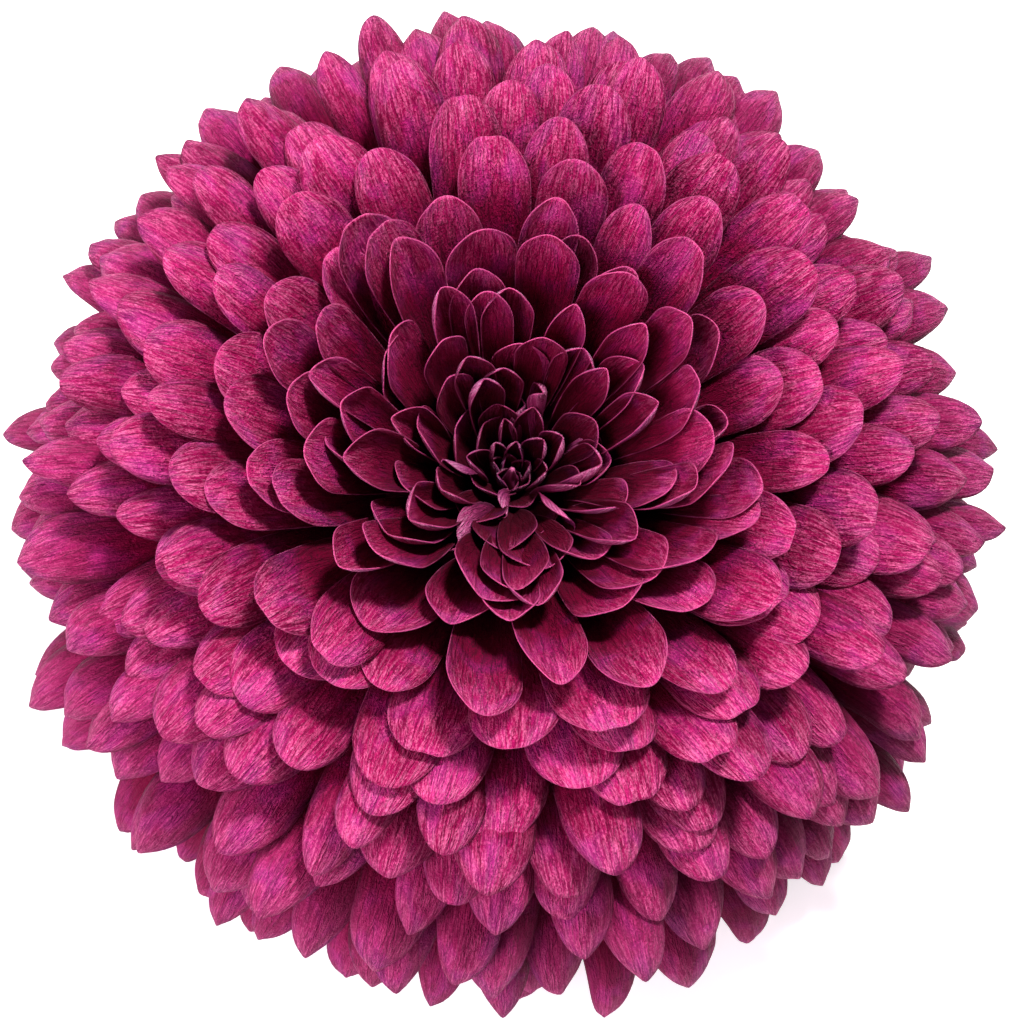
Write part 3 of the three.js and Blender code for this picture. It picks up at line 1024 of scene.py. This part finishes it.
def cup_outline(share):
    """How far out and up the cup's side is at a share of its way up, and its angle from upright."""
    turn = share * math.pi / 2
    out = mix(STEM_RADIUS, CUP_RADIUS, math.sin(turn))
    up = mix(CUP_FOOT_HEIGHT, CUP_TOP_HEIGHT, 1 - math.cos(turn))
    width, height = CUP_RADIUS - STEM_RADIUS, CUP_TOP_HEIGHT - CUP_FOOT_HEIGHT
    return out, up, math.atan2(width * math.cos(turn), height * math.sin(turn))


def make_stem():
    """The stub with its cut end and low ribs, widening into the cup."""
    mesh = bmesh.new()
    stub = [*CUT_OUTLINE, *((STEM_RADIUS, up) for up in STUB_RINGS)]
    outline = [(out, STEM_END_HEIGHT + up) for out, up in stub]
    outline += [cup_outline(step / CUP_STEPS)[:2] for step in range(CUP_STEPS + 1)]
    lathe(mesh, outline + [(0, CUP_TOP_HEIGHT)], STEM_SIDES)
    for corner in mesh.verts:
        angle = math.atan2(corner.co.y, corner.co.x)
        fade = 1 - smoothstep(corner.co.z / MM, *STEM_RIB_FADE)
        ribbed = 1 - STEM_RIB_DEPTH * (1 - math.cos(STEM_RIBS * angle)) * fade
        corner.co.x *= ribbed
        corner.co.y *= ribbed
    mesh.normal_update()
    for face in mesh.faces:
        low = face.calc_center_median().z < (STEM_END_HEIGHT + CUT_REACH) * MM
        if low and face.normal.z < CUT_SLOPE:
            face.material_index = 1
    return finish_piece("stem_and_cup", mesh, (stem_skin, cut_end))


def bract_number(index):
    rank = index / (BRACTS - 1)
    start = mix(FIRST_BRACT["from"], LAST_BRACT["from"], rank)
    out, up, angle = cup_outline(start)
    length = mix(FIRST_BRACT["long"], LAST_BRACT["long"], rank)
    bract = dict(BRACT_MEASURES, rank=rank, foot=out, foot_height=up, rise=angle, turn=index * GOLDEN_ANGLE)
    bract["fall"] = cup_outline(min(1, start + BRACT_REACH))[2]
    bract["long"] = length * (1 + BRACT_LENGTH_SPREAD * draw(index, "bract length"))
    bract["own"] = 0.5 + 0.5 * draw(index, "bract own")
    return bract


def make_bracts():
    blades = new_blades()
    for index in range(BRACTS):
        add_blade(blades, bract_number(index), STEM_END_HEIGHT)
    piece = finish_piece("bracts", blades[0], (bract_skin,))
    soften(piece, 1)
    thicken(piece, BRACT_THICKNESS)
    return piece


# ---------------------------------------------------------------- placing in the frame


def box_of(pieces):
    """The lowest and highest corner of the pieces as they are shown, with their modifiers."""
    bpy.context.view_layer.update()
    graph = bpy.context.evaluated_depsgraph_get()
    corners = []
    for piece in pieces:
        shown = piece.evaluated_get(graph)
        corners += [corner.co.copy() for corner in shown.to_mesh().vertices]
        shown.to_mesh_clear()
    return [[pick(corner[axis] for corner in corners) for axis in range(3)] for pick in (min, max)]


def settle(pieces, others, box):
    """Fits the florets to the frame's outline, and to its height if they reach past it. The others keep their
    size and move with them."""
    low, high = box_of(pieces)
    shift, fit = [0, 0, 0], [1, 1, 1]
    for axis in range(2):
        fit[axis] = (box[1][axis] - box[0][axis]) / (high[axis] - low[axis])
        shift[axis] = (box[1][axis] + box[0][axis]) / 2 - (high[axis] + low[axis]) / 2 * fit[axis]
    fit[2] = min(1, box[1][2] / high[2])
    for piece in pieces:
        for corner in piece.data.vertices:
            corner.co = [corner.co[axis] * fit[axis] + shift[axis] for axis in range(3)]
    for piece in others:
        piece.data.transform(Matrix.Translation(shift))


def stand_under(pieces, box):
    """Moves the pieces level, so that they stand where the frame has them."""
    low, high = box_of(pieces)
    shift = [(box[0][axis] + box[1][axis] - low[axis] - high[axis]) / 2 for axis in range(2)] + [0]
    for piece in pieces:
        piece.data.transform(Matrix.Translation(shift))


florets = make_florets()
core, bud = make_core(), make_bud()
stem, bracts = make_stem(), make_bracts()
settle(florets, [core, bud], cad_box)
stand_under([stem, bracts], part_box("stem"))

for piece in florets + [core, bud]:
    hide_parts("florets")
for piece in (stem, bracts):
    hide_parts("stem")
for piece in florets + [core, bud, stem, bracts]:
    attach(piece, "root")

# ---------------------------------------------------------------- floor

FLOOR_REACH = 2
FLOOR_GLOW = 0.1
FLOOR_GLOW_SEEN = 0.58


def make_floor_material():
    """A pale board that glows faintly, so that the shadow on it stays soft and light."""
    material, recipe, skin = new_material("pale_board")
    noise = recipe.noise(recipe.object_place(), 60.0, 4.0)
    colour = recipe.ramp(noise, [(0.3, (0.88, 0.88, 0.88, 1)), (0.7, (0.92, 0.92, 0.92, 1))])
    seen = recipe.add("ShaderNodeLightPath").outputs["Is Camera Ray"]
    glow = recipe.grey(recipe.between(seen, UNIT, (FLOOR_GLOW, FLOOR_GLOW_SEEN)))
    recipe.feed(skin, {"Base Color": colour, "Roughness": 0.8})
    recipe.feed(skin, {"Emission Color": glow, "Emission Strength": 1.0})
    return material


def make_floor():
    mesh = bmesh.new()
    bmesh.ops.create_grid(mesh, x_segments=1, y_segments=1, size=FLOOR_REACH)
    floor = finish_piece("floor", mesh, (make_floor_material(),))


make_floor()
